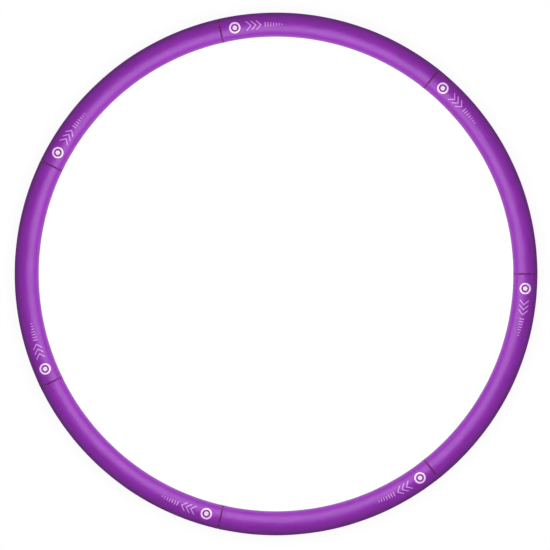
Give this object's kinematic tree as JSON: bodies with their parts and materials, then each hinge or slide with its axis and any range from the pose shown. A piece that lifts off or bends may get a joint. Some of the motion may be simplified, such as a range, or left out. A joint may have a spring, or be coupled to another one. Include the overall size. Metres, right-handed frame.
{
  "type": "sectional gymnastics hoop",
  "caption": "Foam-covered ring hoop that plugs together from curved sections, each joint locked by a spring latch and freed by a push button.",
  "frame": {"origin": "centre of the ring, half way up the tube's thickness", "axes": "+Z along the ring's axis, out of the side with the push buttons; +X from the centre to the seam between sections 7 and 1; the sections follow it clockwise as seen from +Z"},
  "size_m": [0.86, 0.86, 0.04],
  "materials": {
    "foam_skin": "closed-cell foam with a satin skin, purple",
    "core_plastic": "extruded polypropylene tube, satin grey",
    "connector_nylon": "moulded nylon, matt charcoal",
    "spring_steel": "spring strip, satin",
    "housing_plastic": "moulded plastic, violet, satin",
    "button_white": "moulded plastic, glossy white",
    "trim_white": "moulded plastic, glossy white"
  },
  "bodies": {
    "section_1": {"foam_sleeve_1": "foam_skin", "core_tube_1": "core_plastic", "socket_1": "connector_nylon", "spigot_1": "connector_nylon", "latch_spring_1": "spring_steel", "button_housing_1": "housing_plastic", "trim_ring_1": "trim_white"},
    "section_2": {"foam_sleeve_2": "foam_skin", "core_tube_2": "core_plastic", "socket_2": "connector_nylon", "spigot_2": "connector_nylon", "latch_spring_2": "spring_steel", "button_housing_2": "housing_plastic", "trim_ring_2": "trim_white"},
    "section_3": {"foam_sleeve_3": "foam_skin", "core_tube_3": "core_plastic", "socket_3": "connector_nylon", "spigot_3": "connector_nylon", "latch_spring_3": "spring_steel", "button_housing_3": "housing_plastic", "trim_ring_3": "trim_white"},
    "section_4": {"foam_sleeve_4": "foam_skin", "core_tube_4": "core_plastic", "socket_4": "connector_nylon", "spigot_4": "connector_nylon", "latch_spring_4": "spring_steel", "button_housing_4": "housing_plastic", "trim_ring_4": "trim_white"},
    "section_5": {"foam_sleeve_5": "foam_skin", "core_tube_5": "core_plastic", "socket_5": "connector_nylon", "spigot_5": "connector_nylon", "latch_spring_5": "spring_steel", "button_housing_5": "housing_plastic", "trim_ring_5": "trim_white"},
    "section_6": {"foam_sleeve_6": "foam_skin", "core_tube_6": "core_plastic", "socket_6": "connector_nylon", "spigot_6": "connector_nylon", "latch_spring_6": "spring_steel", "button_housing_6": "housing_plastic", "trim_ring_6": "trim_white"},
    "section_7": {"foam_sleeve_7": "foam_skin", "core_tube_7": "core_plastic", "socket_7": "connector_nylon", "spigot_7": "connector_nylon", "latch_spring_7": "spring_steel", "button_housing_7": "housing_plastic", "trim_ring_7": "trim_white"},
    "button_1": {"push_button_1": "button_white"},
    "button_2": {"push_button_2": "button_white"},
    "button_3": {"push_button_3": "button_white"},
    "button_4": {"push_button_4": "button_white"},
    "button_5": {"push_button_5": "button_white"},
    "button_6": {"push_button_6": "button_white"},
    "button_7": {"push_button_7": "button_white"}
  },
  "joints": [
    {"name": "section_2_pull", "type": "slide", "parent": "section_1", "child": "section_2", "axis": [-0.7818, -0.6235, 0], "range_m": [0, 0.06]},
    {"name": "section_3_pull", "type": "slide", "parent": "section_2", "child": "section_3", "axis": [-0.9749, 0.2225, 0], "range_m": [0, 0.06]},
    {"name": "section_4_pull", "type": "slide", "parent": "section_3", "child": "section_4", "axis": [-0.4339, 0.901, 0], "range_m": [0, 0.06]},
    {"name": "section_7_pull", "type": "slide", "parent": "section_1", "child": "section_7", "axis": [0, 1, 0], "range_m": [0, 0.06]},
    {"name": "section_6_pull", "type": "slide", "parent": "section_7", "child": "section_6", "axis": [-0.7818, 0.6235, 0], "range_m": [0, 0.06]},
    {"name": "section_5_pull", "type": "slide", "parent": "section_6", "child": "section_5", "axis": [-0.9749, -0.2225, 0], "range_m": [0, 0.06]},
    {"name": "button_1_press", "type": "slide", "parent": "section_1", "child": "button_1", "axis": [0, 0, -1], "range_m": [0, 0.0025], "stiffness_N_per_m": 1500, "springref_m": -0.002, "deforming": ["latch_spring_7"]},
    {"name": "button_2_press", "type": "slide", "parent": "section_2", "child": "button_2", "axis": [0, 0, -1], "range_m": [0, 0.0025], "stiffness_N_per_m": 1500, "springref_m": -0.002, "deforming": ["latch_spring_1"]},
    {"name": "button_3_press", "type": "slide", "parent": "section_3", "child": "button_3", "axis": [0, 0, -1], "range_m": [0, 0.0025], "stiffness_N_per_m": 1500, "springref_m": -0.002, "deforming": ["latch_spring_2"]},
    {"name": "button_4_press", "type": "slide", "parent": "section_4", "child": "button_4", "axis": [0, 0, -1], "range_m": [0, 0.0025], "stiffness_N_per_m": 1500, "springref_m": -0.002, "deforming": ["latch_spring_3"]},
    {"name": "button_5_press", "type": "slide", "parent": "section_5", "child": "button_5", "axis": [0, 0, -1], "range_m": [0, 0.0025], "stiffness_N_per_m": 1500, "springref_m": -0.002, "deforming": ["latch_spring_4"]},
    {"name": "button_6_press", "type": "slide", "parent": "section_6", "child": "button_6", "axis": [0, 0, -1], "range_m": [0, 0.0025], "stiffness_N_per_m": 1500, "springref_m": -0.002, "deforming": ["latch_spring_5"]},
    {"name": "button_7_press", "type": "slide", "parent": "section_7", "child": "button_7", "axis": [0, 0, -1], "range_m": [0, 0.0025], "stiffness_N_per_m": 1500, "springref_m": -0.002, "deforming": ["latch_spring_6"]}
  ],
  "couplings": [
    {"joint": "section_3_pull", "follows": "section_2_pull", "ratio": 1},
    {"joint": "section_4_pull", "follows": "section_2_pull", "ratio": 1},
    {"joint": "section_5_pull", "follows": "section_2_pull", "ratio": 1},
    {"joint": "section_6_pull", "follows": "section_2_pull", "ratio": 1},
    {"joint": "section_7_pull", "follows": "section_2_pull", "ratio": 1}
  ]
}
